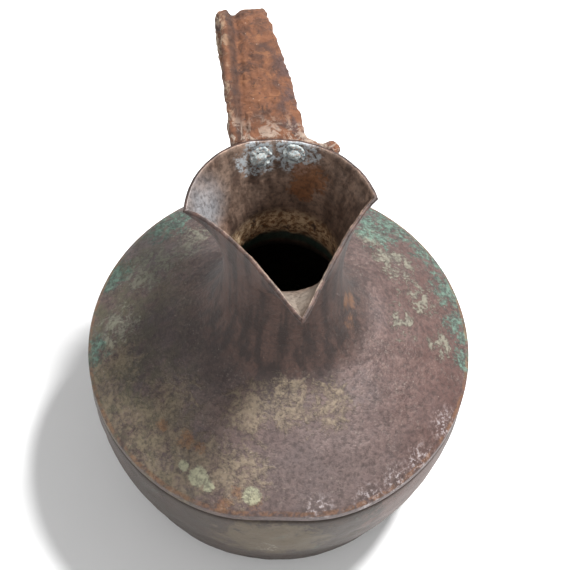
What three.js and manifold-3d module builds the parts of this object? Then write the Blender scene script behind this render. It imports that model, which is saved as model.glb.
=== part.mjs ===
// A sheet-bronze jug with a pinched pouring lip and a riveted iron strap handle.
// Millimetres, +Z up. The jug stands on z = 0 about the Z axis, pours towards -Y and is held at +Y.

import * as THREE from "three";
import { LoftGeometry } from "three/addons/geometries/LoftGeometry.js";
import { mergeVertices } from "three/addons/utils/BufferGeometryUtils.js";
import Module from "manifold-3d";

const wasm = await Module();
wasm.setup();

// Sheet, joints and facets
const SHEET = 1.5;
const LIP_SHEET = 2.1;
const GAP = 0.3;
const SOLDER = 0.6;
const FACETS_AROUND = 48;

// Body: the shoulder's sharp edge is the widest place
const BODY_RADIUS = 95;
const EDGE_HEIGHT = 98;
const FLANGE_DEPTH = 5;
const LAP_DEPTH = 6.6;
const LAP_RADIUS = BODY_RADIUS - SHEET - 2 * GAP - SOLDER;

// Foot: the wall turns in over a base plate whose up-turned edge clasps it
const WALL_FOOT_RADIUS = 82;
const WALL_FOOT_HEIGHT = 12;
const FOOT_RADIUS = 70;
const FOOT_EDGE_HEIGHT = 4.4;
const FOOT_LAP_RADIUS = FOOT_RADIUS - SHEET - 2 * GAP - SOLDER;
const GROOVE_RADII = [24, 48];
const GROOVE_DEPTH = 0.5;
const GROOVE_WIDTH = 2.4;

// Neck, with heights above the shoulder's edge
const SHOULDER_TOP_RADIUS = 44;
const SHOULDER_RISE = 31.5;
const SHOULDER_CROWN = 1.2;
const NECK_RADIUS = 27.5;
const NECK_START = 80;
const MOUTH_START_BACK = 82;
const MOUTH_START_FRONT = 97;

// Mouth: a wide rounded back, sharp side corners and sides pinched in to a narrow lip
const RIM_RISE = 122;
const LIP_LIFT = 1.5;
const LIP_TIP = [1, -56.3];
const RIGHT_CORNER = [40.4, 3];
const LEFT_CORNER = [-44.4, 3];
const MOUTH_BACK = [-6, 38.3];
const LIP_SHARE = 13 / FACETS_AROUND;

// Dent in the front of the shoulder's edge
const DENT_DEPTH = 3;
const DENT_ANGLE = -6 * THREE.MathUtils.DEG2RAD;
const DENT_HALF_ANGLE = 13 * THREE.MathUtils.DEG2RAD;
const DENT_HALF_HEIGHT = 20;

// Handle strap, in a plane that leans a little to the jug's left
const HANDLE_SWING = 5.5 * THREE.MathUtils.DEG2RAD;
const HANDLE_SHIFT = -0.7;
const STRAP_THICKNESS = 5;
const STRAP_ROOT_WIDTH = 34;
const STRAP_BEND_WIDTH = 22.5;
const STRAP_FOOT_WIDTH = 13;
const BEAD_RADIUS = 3.2;
const GROOVE_BESIDE_BEAD = 2.2;
const STRAP_STEPS = 34;
const BEAD_LIFT = 0.7;

// Arms that hug the outside of the mouth below the rim
const ARM_LEVEL = 0.85;
const ARM_THICKNESS = 6.6;
const ARM_MIDDLE_HEIGHT = 12.5;
const ARM_END_HEIGHT = 7;
const ARM_END_LIFT = 1.8;
const ARM_RIGHT_SHARE = 0.28;
const ARM_LEFT_SHARE = 0.65;
const ARM_STEPS = 14;
const KNOB_RADIUS = 4.6;
const ARM_SUNK = 1.5;

// Leaf-shaped foot on the shoulder
const LEAF_RADIUS = 79;
const LEAF_LENGTH = 32;
const LEAF_HALF_WIDTH = 17.5;
const LEAF_THICKNESS = 3.6;
const LEAF_STEPS = 12;
const LEAF_SUNK = 1.2;

// Rivets and their washers
const SHANK_RADIUS = 2;
const HOLE_RADIUS = SHANK_RADIUS + GAP;
const DRILL_LENGTH = 20;
const PUNCH_ROOM = 12;
const HEAD_RADIUS = 3.6;
const HEAD_HEIGHT = 2.2;
const HEAD_CLEARANCE = 0.6;
const PEEN_RADIUS = 3.2;
const PEEN_HEIGHT = 1.6;
const ROVE_RADIUS = 5.2;
const ROVE_THICKNESS = 1.3;
const ROVE_STANDOFF = 0.8;
const UPPER_RIVETS = {
  left: { share: 0.556, level: 0.83 },
  right: { share: 0.414, level: 0.87 },
};
const LOWER_RIVET_SPREAD = 11.5;
const ROUND_STEPS = 14;

const BRONZE = { color: 0x5a463c, roughness: 0.5, metalness: 0.75 };
const DARK_BRONZE = { color: 0x463a33, roughness: 0.55, metalness: 0.7 };
const RUST = { color: 0x8a4b2a, roughness: 0.9, metalness: 0.15 };
const SOLDER_GREY = { color: 0x4c4742, roughness: 0.7, metalness: 0.5 };
const PALE_CRUST = { color: 0xb4bdb4, roughness: 0.85, metalness: 0.1 };

const { lerp, smoothstep } = THREE.MathUtils;

// Turns a three.js geometry into a solid that can be joined and cut.
function solidOf(geometry) {
  const bare = new THREE.BufferGeometry();
  bare.setAttribute("position", geometry.getAttribute("position"));
  bare.setIndex(geometry.index);
  const merged = mergeVertices(bare, 1e-4);
  return new wasm.Manifold(
    new wasm.Mesh({
      numProp: 3,
      vertProperties: new Float32Array(merged.attributes.position.array),
      triVerts: new Uint32Array(merged.index.array),
    }),
  );
}

function geometryOf(solid) {
  const mesh = solid.getMesh();
  const geometry = new THREE.BufferGeometry();
  geometry.setAttribute("position", new THREE.BufferAttribute(mesh.vertProperties, 3));
  geometry.setIndex(new THREE.BufferAttribute(mesh.triVerts, 1));
  geometry.computeVertexNormals();
  return geometry;
}

function cutAway(geometry, tools) {
  const solid = tools.reduce((rest, tool) => rest.subtract(solidOf(tool)), solidOf(geometry));
  return geometryOf(solid);
}

function named(name, geometry, look) {
  const mesh = new THREE.Mesh(geometry, new THREE.MeshStandardMaterial(look));
  mesh.name = name;
  return mesh;
}

// A direction in plan: angle 0 is the lip at -Y, and the angle grows anticlockwise seen from above.
function facing(angle) {
  return new THREE.Vector2(Math.sin(angle), -Math.cos(angle));
}

// Revolves a profile of (radius, height) points about the jug's axis.
function revolved(profile, steps = FACETS_AROUND) {
  const points = profile.map(([radius, height]) => new THREE.Vector2(radius, height));
  return new THREE.LatheGeometry(points, steps).rotateX(Math.PI / 2);
}

// Pushes the front of the shoulder's edge inwards, on every piece that meets there.
function dented(geometry) {
  const position = geometry.attributes.position;
  const point = new THREE.Vector3();
  for (let i = 0; i < position.count; i += 1) {
    point.fromBufferAttribute(position, i);
    const angle = Math.atan2(point.x, -point.y) - DENT_ANGLE;
    const across = Math.exp(-((angle / DENT_HALF_ANGLE) ** 2));
    const along = Math.exp(-(((point.z - EDGE_HEIGHT) / DENT_HALF_HEIGHT) ** 2));
    const radius = Math.hypot(point.x, point.y);
    const shrink = radius > NECK_RADIUS ? 1 - (DENT_DEPTH * across * along) / radius : 1;
    position.setXYZ(i, point.x * shrink, point.y * shrink, point.z);
  }
  return geometry;
}

// The rim's outline in plan is four curves that meet at the tip, both corners and the back.
function rimCurve(...points) {
  return new THREE.CubicBezierCurve(...points.map(([x, y]) => new THREE.Vector2(x, y)));
}

const rightOfLip = rimCurve(LIP_TIP, [5.5, -54.5], [22, -14], RIGHT_CORNER);
const leftOfLip = rimCurve(LIP_TIP, [-3.5, -54.5], [-20.5, -8], LEFT_CORNER);
const backOfMouth = new THREE.CurvePath();
backOfMouth.add(rimCurve(RIGHT_CORNER, [38, 20], [21.5, 39], MOUTH_BACK));
backOfMouth.add(rimCurve(MOUTH_BACK, [-25, 39.5], [-42, 24], LEFT_CORNER));

// A point of the rim, as a function of the angle that each facet has round the neck.
function rimOutline(angle) {
  const turn = THREE.MathUtils.euclideanModulo(angle / (2 * Math.PI), 1);
  if (turn < LIP_SHARE) return rightOfLip.getPointAt(turn / LIP_SHARE);
  if (turn > 1 - LIP_SHARE) return leftOfLip.getPointAt((1 - turn) / LIP_SHARE);
  const share = (turn - LIP_SHARE) / (1 - 2 * LIP_SHARE);
  return backOfMouth.getPoint(THREE.MathUtils.clamp(share, 0, 1));
}

// The angle of a place on the mouth's back, from its right corner at 0 to its left corner at 1.
function backAngle(share) {
  return lerp(LIP_SHARE, 1 - LIP_SHARE, share) * 2 * Math.PI;
}

// How far an angle faces the lip: 1 at the front, 0 at the back.
function frontness(angle) {
  return ((1 + Math.cos(angle)) / 2) ** 1.5;
}

function mouthStart(angle) {
  return EDGE_HEIGHT + lerp(MOUTH_START_BACK, MOUTH_START_FRONT, frontness(angle));
}

// A point of the mouth's outer skin, from the neck at level 0 to the rim at level 1.
// The back flares in a curve, and the lip's trough rises straight from a sharp bend.
function mouthSkin(angle, level) {
  const front = frontness(angle);
  const flare = level ** lerp(1.7, 1.05, front);
  const rimHeight = EDGE_HEIGHT + RIM_RISE + LIP_LIFT * front ** 4;
  const plan = facing(angle).multiplyScalar(NECK_RADIUS).lerp(rimOutline(angle), flare);
  return new THREE.Vector3(plan.x, plan.y, lerp(mouthStart(angle), rimHeight, level));
}

function mouthNormal(angle, level) {
  const step = 0.02;
  const around = mouthSkin(angle + step, level).sub(mouthSkin(angle - step, level));
  const upward = mouthSkin(angle, level + step).sub(mouthSkin(angle, level - step));
  return around.cross(upward).normalize();
}

// Shoulder and lower neck as (radius, height above the edge), from the flange up to the neck.
function shoulderProfile() {
  const flange = [
    [BODY_RADIUS, -FLANGE_DEPTH],
    [BODY_RADIUS, -1.2],
    [BODY_RADIUS - 0.5, -0.2],
    [BODY_RADIUS - 1.6, 0.8],
  ];
  const cone = [0.15, 0.38, 0.62, 0.85].map((share) => [
    lerp(BODY_RADIUS, SHOULDER_TOP_RADIUS, share),
    SHOULDER_RISE * share + SHOULDER_CROWN * Math.sin(Math.PI * share),
  ]);
  const sweep = new THREE.CubicBezierCurve(
    new THREE.Vector2(SHOULDER_TOP_RADIUS, SHOULDER_RISE),
    new THREE.Vector2(32.5, 38.2),
    new THREE.Vector2(NECK_RADIUS, 53),
    new THREE.Vector2(NECK_RADIUS, NECK_START),
  );
  return [...flange, ...cone, ...sweep.getPoints(6).map((point) => [point.x, point.y])];
}

function ringOf(makePoint) {
  return Array.from({ length: FACETS_AROUND }, (_, i) => makePoint((i / FACETS_AROUND) * 2 * Math.PI));
}

function profileRing(radius, height) {
  return ringOf((angle) => {
    const plan = facing(angle).multiplyScalar(radius);
    return new THREE.Vector3(plan.x, plan.y, height);
  });
}

// The outer skin of shoulder, neck and mouth as rings from the bottom up.
function upperSkin() {
  const rings = shoulderProfile().map(([radius, rise]) => profileRing(radius, EDGE_HEIGHT + rise));
  const levels = [0, 0.14, 0.29, 0.44, 0.58, 0.72, 0.85, 0.95, 1];
  levels.forEach((level) => rings.push(ringOf((angle) => mouthSkin(angle, level))));
  return rings;
}

// Moves every ring along the skin's own normals. A positive distance is outwards.
function offsetRings(rings, distanceAt) {
  return rings.map((ring, k) => {
    const below = rings[Math.max(k - 1, 0)];
    const above = rings[Math.min(k + 1, rings.length - 1)];
    return ring.map((point, j) => {
      const next = ring[(j + 1) % ring.length];
      const last = ring[(j + ring.length - 1) % ring.length];
      const normal = next.clone().sub(last).cross(above[j].clone().sub(below[j])).normalize();
      return point.clone().addScaledVector(normal, distanceAt(k));
    });
  });
}

// A sheet of even thickness behind an outer skin, with a rounded upper edge.
function sheetShell(outer, thicknessAt) {
  const inner = offsetRings(outer, (k) => -thicknessAt(k));
  const top = outer.length - 1;
  const edge = outer[top].map((point, j) => {
    const upward = point.clone().sub(outer[top - 1][j]).normalize();
    return point.clone().lerp(inner[top][j], 0.5).addScaledVector(upward, 0.25 * thicknessAt(top));
  });
  return new LoftGeometry([...outer, edge, ...inner.reverse(), outer[0]]);
}

// Everything that lies inside the jug's outer skin, grown by the joint gap, to fit pieces against it.
function jugEnvelope() {
  const rings = offsetRings(upperSkin(), () => GAP);
  const rim = rings[rings.length - 1];
  const above = rim.map((point) => point.clone().setZ(point.z + 3 * STRAP_THICKNESS));
  return new LoftGeometry([...rings, above], { capStart: true, capEnd: true });
}

// A seat is a place on a piece, with the direction that stands straight out of it.
function upperRivetSeat({ share, level }) {
  const angle = backAngle(share);
  return { point: mouthSkin(angle, level), normal: mouthNormal(angle, level) };
}

function coneHeight(radius) {
  const share = (BODY_RADIUS - radius) / (BODY_RADIUS - SHOULDER_TOP_RADIUS);
  return EDGE_HEIGHT + SHOULDER_RISE * share + SHOULDER_CROWN * Math.sin(Math.PI * share);
}

function coneTilt(radius) {
  return Math.atan2(coneHeight(radius - 1) - coneHeight(radius + 1), 2);
}

// From the handle's own plane to the jug's frame.
function handlePlacement() {
  const turned = new THREE.Matrix4().makeRotationZ(HANDLE_SWING);
  return turned.premultiply(new THREE.Matrix4().makeTranslation(HANDLE_SHIFT, 0, 0));
}

// A place on the shoulder behind the neck: across is to the right of the handle's plane seen from
// the front, and along is down the slope from the middle of the handle's foot.
function shoulderSeat(across, along) {
  const middle = new THREE.Vector3(0, LEAF_RADIUS, 0).applyMatrix4(handlePlacement());
  const radius = LEAF_RADIUS + along * Math.cos(coneTilt(LEAF_RADIUS));
  const plan = facing(Math.atan2(middle.x, -middle.y) - across / radius);
  const tilt = coneTilt(radius);
  return {
    point: new THREE.Vector3(plan.x * radius, plan.y * radius, coneHeight(radius)),
    normal: new THREE.Vector3(plan.x * Math.sin(tilt), plan.y * Math.sin(tilt), Math.cos(tilt)),
  };
}

// Turns a geometry made along +Y so that it stands on a seat.
function standOn(geometry, seat) {
  const turn = new THREE.Quaternion().setFromUnitVectors(new THREE.Vector3(0, 1, 0), seat.normal);
  const place = new THREE.Matrix4().compose(seat.point, turn, new THREE.Vector3(1, 1, 1));
  return geometry.applyMatrix4(place);
}

function rivetHole(seat) {
  const drill = new THREE.CylinderGeometry(HOLE_RADIUS, HOLE_RADIUS, DRILL_LENGTH, ROUND_STEPS);
  return standOn(drill, seat);
}

// Room for a rivet's head and for the punch that sets it.
function headRoom(seat, plateThickness) {
  const radius = HEAD_RADIUS + HEAD_CLEARANCE;
  const room = new THREE.CylinderGeometry(radius, radius, PUNCH_ROOM, ROUND_STEPS);
  room.translate(0, PUNCH_ROOM / 2 + plateThickness, 0);
  return standOn(room, seat);
}

// Half an ellipse of (radius, height) points, from the rim of a dome to its pole.
function dome(radius, base, height) {
  return [1, 2, 3].map((k) => {
    const turn = (k / 3) * (Math.PI / 2);
    const pole = k === 3;
    return new THREE.Vector2(pole ? 0 : radius * Math.cos(turn), base + height * Math.sin(turn));
  });
}

// One turned solid: peened end inside the jug, shank through both pieces, domed head outside.
function rivet(seat, plateThickness) {
  const inner = -(SHEET + ROVE_STANDOFF + ROVE_THICKNESS + GAP);
  const outer = plateThickness + 2 * GAP;
  const peen = dome(PEEN_RADIUS, -inner, PEEN_HEIGHT).reverse();
  const profile = [
    ...peen.map((point) => new THREE.Vector2(point.x, -point.y)),
    new THREE.Vector2(PEEN_RADIUS, inner),
    new THREE.Vector2(SHANK_RADIUS, inner),
    new THREE.Vector2(SHANK_RADIUS, outer),
    new THREE.Vector2(HEAD_RADIUS, outer),
    ...dome(HEAD_RADIUS, outer, HEAD_HEIGHT),
  ];
  return standOn(new THREE.LatheGeometry(profile, ROUND_STEPS), seat);
}

function rove(seat) {
  const top = -(SHEET + ROVE_STANDOFF);
  const bottom = top - ROVE_THICKNESS;
  const profile = [
    [HOLE_RADIUS, bottom],
    [ROVE_RADIUS - 0.4, bottom],
    [ROVE_RADIUS, bottom + 0.4],
    [ROVE_RADIUS, top],
    [HOLE_RADIUS, top],
    [HOLE_RADIUS, bottom],
  ];
  const points = profile.map(([radius, height]) => new THREE.Vector2(radius, height));
  return standOn(new THREE.LatheGeometry(points, ROUND_STEPS), seat);
}

function neckAndShoulder(holes) {
  const skin = upperSkin();
  const thicken = (k) => lerp(SHEET, LIP_SHEET, smoothstep(k, skin.length - 4, skin.length - 1));
  return cutAway(dented(sheetShell(skin, thicken)), holes);
}

// Lower wall: stepped in at both ends, so that its neighbours lap over it.
function lowerBody() {
  const turnIn = [0.25, 0.6].map((share) => [
    lerp(FOOT_RADIUS, WALL_FOOT_RADIUS, Math.sin(share * (Math.PI / 2))),
    lerp(WALL_FOOT_HEIGHT, FOOT_EDGE_HEIGHT + GAP + 0.4, Math.cos(share * (Math.PI / 2))),
  ]);
  const wall = new THREE.CubicBezierCurve(
    new THREE.Vector2(WALL_FOOT_RADIUS, WALL_FOOT_HEIGHT),
    new THREE.Vector2(87.5, 36),
    new THREE.Vector2(BODY_RADIUS, 52),
    new THREE.Vector2(BODY_RADIUS, EDGE_HEIGHT - 12),
  );
  const profile = [
    [FOOT_LAP_RADIUS, SHEET + GAP],
    [FOOT_LAP_RADIUS, FOOT_EDGE_HEIGHT + GAP],
    ...turnIn,
    ...wall.getPoints(6).map((point) => [point.x, point.y]),
    [BODY_RADIUS - 0.2, EDGE_HEIGHT - LAP_DEPTH - 1],
    [LAP_RADIUS, EDGE_HEIGHT - LAP_DEPTH],
    [LAP_RADIUS, EDGE_HEIGHT - 1.2],
  ];
  const rings = profile.map(([radius, height]) => profileRing(radius, height));
  return dented(sheetShell(rings, () => SHEET));
}

// Solder between the shoulder's flange and the wall, with a fillet in the open seam.
function shoulderSolder() {
  const inside = LAP_RADIUS + GAP;
  const outside = inside + SOLDER;
  const seam = EDGE_HEIGHT - FLANGE_DEPTH - GAP;
  return dented(
    revolved([
      [inside, EDGE_HEIGHT - LAP_DEPTH + GAP],
      [outside + 0.7, EDGE_HEIGHT - LAP_DEPTH + GAP],
      [outside + 0.9, seam],
      [outside, seam],
      [outside, EDGE_HEIGHT - 1.8],
      [inside, EDGE_HEIGHT - 1.8],
      [inside, EDGE_HEIGHT - LAP_DEPTH + GAP],
    ]),
  );
}

function baseSolder() {
  const inside = FOOT_LAP_RADIUS + GAP;
  const outside = inside + SOLDER;
  return revolved([
    [inside, SHEET + GAP],
    [outside, SHEET + GAP],
    [outside, FOOT_EDGE_HEIGHT - 0.1],
    [inside, FOOT_EDGE_HEIGHT - 0.1],
    [inside, SHEET + GAP],
  ]);
}

// Flat base with two turned grooves underneath and an up-turned edge.
function basePlate() {
  const grooves = GROOVE_RADII.flatMap((radius) => [
    [radius - GROOVE_WIDTH / 2, 0],
    [radius - GROOVE_WIDTH / 4, GROOVE_DEPTH],
    [radius + GROOVE_WIDTH / 4, GROOVE_DEPTH],
    [radius + GROOVE_WIDTH / 2, 0],
  ]);
  return revolved([
    [0, 0],
    ...grooves,
    [FOOT_RADIUS - 2, 0],
    [FOOT_RADIUS - 0.6, 0.5],
    [FOOT_RADIUS, 1.9],
    [FOOT_RADIUS, FOOT_EDGE_HEIGHT],
    [FOOT_RADIUS - SHEET, FOOT_EDGE_HEIGHT],
    [FOOT_RADIUS - SHEET, SHEET],
    [0, SHEET],
  ]);
}

// Middle line of the strap as (distance behind the axis, height): out of the mouth's back,
// over a tight bend and down to the shoulder, where it turns out along the slope.
function strapPath() {
  const points = [
    [33, 117], [44, 121.5], [60, 127.5], [79, 132.5], [95, 133], [106, 127], [110.5, 114],
    [108, 93], [100, 66], [90, 40], [81, 19.5], [79, 13.5], [81.5, 9.4],
  ];
  return new THREE.CatmullRomCurve3(
    points.map(([reach, rise]) => new THREE.Vector3(0, reach, EDGE_HEIGHT + rise)),
  );
}

// Cross-section of the strap, over the crowned top from the left bead to the right edge
// and back underneath. The bead and the groove beside it keep their size as the width changes.
function strapSection(width) {
  const half = width / 2;
  const under = -STRAP_THICKNESS / 2;
  const top = STRAP_THICKNESS / 2;
  const beadMiddle = -half + BEAD_RADIUS;
  const bead = [200, 160, 120, 80, 40].map((degrees) => {
    const turn = degrees * THREE.MathUtils.DEG2RAD;
    return [beadMiddle + BEAD_RADIUS * Math.cos(turn), BEAD_LIFT + BEAD_RADIUS * Math.sin(turn)];
  });
  const grooveMiddle = beadMiddle + BEAD_RADIUS + GROOVE_BESIDE_BEAD / 2;
  return [
    ...bead,
    [grooveMiddle, under + 2],
    [grooveMiddle + GROOVE_BESIDE_BEAD, top - 0.9],
    [lerp(grooveMiddle, half, 0.4), top + 0.1],
    [lerp(grooveMiddle, half, 0.7), top - 0.3],
    [half - 1.6, top - 1.2],
    [half, 0.2],
    [half - 1.3, under + 0.7],
    [half * 0.4, under + 0.3],
    [-half * 0.4, under + 0.3],
    [-half + 1.2, under + 0.5],
  ];
}

function strapWidth(share) {
  const toBend = lerp(STRAP_ROOT_WIDTH, STRAP_BEND_WIDTH, smoothstep(share, 0.05, 0.4));
  return lerp(toBend, STRAP_FOOT_WIDTH, smoothstep(share, 0.45, 0.85));
}

function strap() {
  const path = strapPath();
  const sections = [];
  for (let i = 0; i <= STRAP_STEPS; i += 1) {
    const share = i / STRAP_STEPS;
    const middle = path.getPointAt(share);
    const forward = path.getTangentAt(share);
    const outward = new THREE.Vector3(0, -forward.z, forward.y);
    sections.push(
      strapSection(strapWidth(share)).map(([across, up]) =>
        new THREE.Vector3(across, middle.y, middle.z).addScaledVector(outward, up),
      ),
    );
  }
  const loft = new LoftGeometry(sections, { capStart: true, capEnd: true });
  return loft.applyMatrix4(handlePlacement());
}

// A bar that follows the mouth's outside, tall behind the rivets and slim at both ends.
function arms() {
  const sections = [];
  for (let i = 0; i <= ARM_STEPS; i += 1) {
    const share = lerp(ARM_RIGHT_SHARE, ARM_LEFT_SHARE, i / ARM_STEPS);
    const middle = UPPER_RIVETS.left.share / 2 + UPPER_RIVETS.right.share / 2;
    const end = share < middle ? ARM_RIGHT_SHARE : ARM_LEFT_SHARE;
    const toEnd = smoothstep((share - middle) / (end - middle), 0.4, 0.9);
    const halfHeight = lerp(ARM_MIDDLE_HEIGHT, ARM_END_HEIGHT, toEnd) / 2;
    const depth = lerp(ARM_THICKNESS, ARM_THICKNESS * 0.85, toEnd);
    const angle = backAngle(share);
    const seat = mouthSkin(angle, ARM_LEVEL);
    const normal = mouthNormal(angle, ARM_LEVEL);
    const upward = mouthSkin(angle, ARM_LEVEL + 0.05).sub(seat).normalize();
    seat.addScaledVector(upward, ARM_END_LIFT * toEnd);
    const corner = (out, up) => seat.clone().addScaledVector(normal, out).addScaledVector(upward, up);
    sections.push([
      corner(-ARM_SUNK, -halfHeight),
      corner(-ARM_SUNK, halfHeight),
      corner(depth * 0.7, halfHeight),
      corner(depth, halfHeight * 0.7),
      corner(depth, -halfHeight * 0.7),
      corner(depth * 0.6, -halfHeight),
    ]);
  }
  return new LoftGeometry(sections, { capStart: true, capEnd: true });
}

function knob() {
  const angle = backAngle(ARM_RIGHT_SHARE);
  const seat = mouthSkin(angle, ARM_LEVEL + 0.1);
  seat.addScaledVector(mouthNormal(angle, ARM_LEVEL), ARM_THICKNESS * 0.5);
  const ball = new THREE.SphereGeometry(KNOB_RADIUS, 10, 7);
  return ball.translate(seat.x, seat.y, seat.z);
}

// Half the leaf's width, from its neck at share 0 to its tip at share 1.
function leafHalfWidth(share) {
  const widest = 0.4;
  if (share < widest) return LEAF_HALF_WIDTH * lerp(0.5, 1, Math.sin((share / widest) * (Math.PI / 2)));
  return LEAF_HALF_WIDTH * Math.max(0.05, 1 - ((share - widest) / (1 - widest)) ** 1.7);
}

// A pointed leaf wrapped over the shoulder, tip downhill, thinned towards its edges.
function leaf() {
  const sections = [];
  for (let i = 0; i <= LEAF_STEPS; i += 1) {
    const share = i / LEAF_STEPS;
    const half = leafHalfWidth(share);
    const along = LEAF_LENGTH * (share - 0.5);
    const place = (across, out) => {
      const seat = shoulderSeat(across * half, along);
      return seat.point.addScaledVector(seat.normal, out);
    };
    const top = [-0.9, -0.45, 0, 0.45, 0.9].map((across) => place(across, LEAF_THICKNESS));
    const edge = LEAF_THICKNESS * 0.4;
    const under = [1, 0, -1].map((across) => place(across, -LEAF_SUNK));
    sections.push([place(-1, edge), ...top, place(1, edge), ...under]);
  }
  return new LoftGeometry(sections, { capStart: true, capEnd: true });
}

// One iron forging, fitted to the jug's outside and drilled for the four rivets.
function handle(cuts) {
  const forged = [arms(), knob(), leaf()].reduce(
    (whole, piece) => whole.add(solidOf(piece)),
    solidOf(strap()),
  );
  const fitted = forged.subtract(solidOf(jugEnvelope()));
  return cutAway(geometryOf(fitted), cuts);
}

const upperSeats = {
  left: upperRivetSeat(UPPER_RIVETS.left),
  right: upperRivetSeat(UPPER_RIVETS.right),
};
const lowerSeats = {
  left: shoulderSeat(-LOWER_RIVET_SPREAD, -2),
  right: shoulderSeat(LOWER_RIVET_SPREAD, -2),
};
const holes = [...Object.values(upperSeats), ...Object.values(lowerSeats)].map(rivetHole);
const headRooms = Object.values(upperSeats).map((seat) => headRoom(seat, ARM_THICKNESS));

const jug = new THREE.Group();
jug.add(named("neck_and_shoulder", neckAndShoulder(holes), BRONZE));
jug.add(named("lower_body", lowerBody(), DARK_BRONZE));
jug.add(named("base_plate", basePlate(), DARK_BRONZE));
jug.add(named("shoulder_solder", shoulderSolder(), SOLDER_GREY));
jug.add(named("base_solder", baseSolder(), SOLDER_GREY));
jug.add(named("handle", handle([...holes, ...headRooms]), RUST));
for (const side of ["left", "right"]) {
  jug.add(named("upper_rivet_" + side, rivet(upperSeats[side], ARM_THICKNESS), PALE_CRUST));
  jug.add(named("upper_rove_" + side, rove(upperSeats[side]), PALE_CRUST));
  jug.add(named("lower_rivet_" + side, rivet(lowerSeats[side], LEAF_THICKNESS), RUST));
  jug.add(named("lower_rove_" + side, rove(lowerSeats[side]), RUST));
}

export default jug;
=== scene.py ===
# A sheet-bronze jug with a pinched lip and a rusted iron handle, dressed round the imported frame.
# Metres, +Z up. The jug pours towards -Y and is held at +Y. Shapes are worked out in millimetres.
# A rise is a height above the shoulder's edge.

import math

import bpy
import numpy as np
from mathutils import Matrix, Vector, noise


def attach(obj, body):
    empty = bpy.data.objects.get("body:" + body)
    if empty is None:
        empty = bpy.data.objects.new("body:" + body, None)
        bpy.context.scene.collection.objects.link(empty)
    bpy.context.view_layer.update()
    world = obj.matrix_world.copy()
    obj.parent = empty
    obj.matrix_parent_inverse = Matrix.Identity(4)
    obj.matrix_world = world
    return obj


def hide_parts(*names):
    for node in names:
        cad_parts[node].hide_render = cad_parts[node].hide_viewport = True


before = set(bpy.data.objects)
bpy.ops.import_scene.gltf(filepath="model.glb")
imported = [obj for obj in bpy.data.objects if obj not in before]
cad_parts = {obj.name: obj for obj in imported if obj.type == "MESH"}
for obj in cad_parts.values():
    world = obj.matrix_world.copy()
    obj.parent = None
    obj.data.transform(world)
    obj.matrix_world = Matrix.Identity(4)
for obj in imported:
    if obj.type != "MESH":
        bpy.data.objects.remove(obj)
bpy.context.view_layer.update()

MM = 0.001
TURN = 2 * math.pi
QUARTER_TURN = math.pi / 2

# Driving sizes, the same as the solids have
SHEET = 1.5
LIP_SHEET = 2.1
BODY_RADIUS = 95
EDGE_HEIGHT = 98
FLANGE_DEPTH = 5
LAP_RADIUS = 92.3
WALL_FOOT_RADIUS = 82
WALL_FOOT_HEIGHT = 12
FOOT_RADIUS = 70
FOOT_EDGE_HEIGHT = 4.4
FOOT_LAP_RADIUS = 67.3
GROOVE_RADII = (24, 48)
SHOULDER_TOP_RADIUS = 44
SHOULDER_RISE = 31.5
SHOULDER_CROWN = 1.2
NECK_RADIUS = 27.5
NECK_START = 80
MOUTH_START_BACK = 82
MOUTH_START_FRONT = 97
RIM_RISE = 122
LIP_LIFT = 1.5
LIP_TIP = (1, -56.3)
RIGHT_CORNER = (40.4, 3)
LEFT_CORNER = (-44.4, 3)
MOUTH_BACK = (-6, 38.3)
LIP_SHARE = 13 / 48
DENT_DEPTH = 3
DENT_ANGLE = math.radians(-6)
DENT_HALF_ANGLE = math.radians(13)
DENT_HALF_HEIGHT = 20

# How the neck opens into the mouth: curved at the back, nearly straight up the lip
FRONT_FOCUS = 1.5
FLARE_BACK = 1.7
FLARE_FRONT = 1.05
LIP_LIFT_FOCUS = 4

# Outline of the shoulder: the roll is (inwards from the body's radius, rise)
FLANGE_RINGS = 6
FLANGE_STEP = 0.75
SHOULDER_ROLL = ((0.2, -0.6), (0.7, 0), (1.6, 0.7))
SWEEP_HANDLES = ((32.5, 38.2), (NECK_RADIUS, 53))

# Outline of the lower wall: the tuck is (radius, depth below the shoulder's edge)
FOOT_LAP_HEIGHTS = (1.8, 3.2, 4.7)
FOOT_BEND_LOW = 5.1
WALL_HANDLES = ((87.5, 36), (BODY_RADIUS, 52))
WALL_TOP_DEPTH = 12
WALL_TUCK = ((BODY_RADIUS - 0.1, 9.5), (BODY_RADIUS - 0.4, 7.9), (LAP_RADIUS + 0.8, 6.9),
             (LAP_RADIUS, 6.2), (LAP_RADIUS, 3.5), (LAP_RADIUS, 1.2))

# Outline of the base plate: a groove is (across from its middle, height)
GROOVE_OUTLINE = ((-1.4, 0), (-0.9, 0.15), (-0.5, 0.45), (0, 0.5), (0.5, 0.45), (0.9, 0.15), (1.4, 0))
BASE_MIDDLE = 0.01
BASE_CORNER = 2.2
BASE_CHAMFER = 0.4

# Fineness of the visible sheets: vertices round a ring, rings of the longer stretches, and how
# many rings the outside has for each one of the inside
COLUMNS = 288
CONE_RINGS = 52
SWEEP_RINGS = 38
MOUTH_RINGS = 52
THICKENED_RINGS = 8
FOOT_BEND_RINGS = 14
WALL_RINGS = 56
BASE_CORNER_RINGS = 7
INNER_STEP = 2

# Rounding of a sheet's upper edge: (share of the way inwards, rise in sheet thicknesses)
EDGE_ROUND = ((0.15, 0.22), (0.5, 0.32), (0.85, 0.22))

# Relief of the sheets as layers of noise: (lump size, seed, height)
HAMMER_MARKS = (9, 3.1, 0.34)
OLD_DENTS = (26, 7.7, 0.5)
FINE_PITS = (2.2, 5.3, 0.07)
RIM_WAVES = ((7, 11.0, 0.55), (2.5, 12.0, 0.3))
RIM_WEAR = 0.35
RIM_WAVE_FOCUS = 6
UPPER_HAMMERING = 1.0
WALL_HAMMERING = 1.25

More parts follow.
